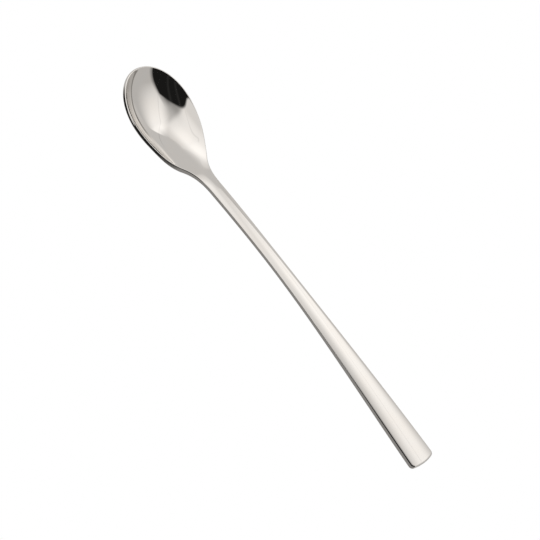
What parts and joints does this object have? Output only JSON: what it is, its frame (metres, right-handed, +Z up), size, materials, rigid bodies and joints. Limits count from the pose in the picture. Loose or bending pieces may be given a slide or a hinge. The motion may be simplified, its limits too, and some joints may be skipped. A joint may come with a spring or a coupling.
{
  "type": "iced tea spoon",
  "caption": "Long-handled spoon of polished stainless steel with an egg-shaped bowl and a flat, widening handle.",
  "frame": {"origin": "on the surface the spoon lies on, under the middle of its overall box", "axes": "+X from the bowl's tip to the handle's end, +Y across the spoon, +Z up, out of the hollow of the bowl"},
  "size_m": [0.195, 0.0306, 0.0127],
  "materials": {
    "polished_steel": "polished stainless steel, fine lines along the handle"
  },
  "bodies": {
    "root": {"spoon": "polished_steel"}
  },
  "joints": []
}
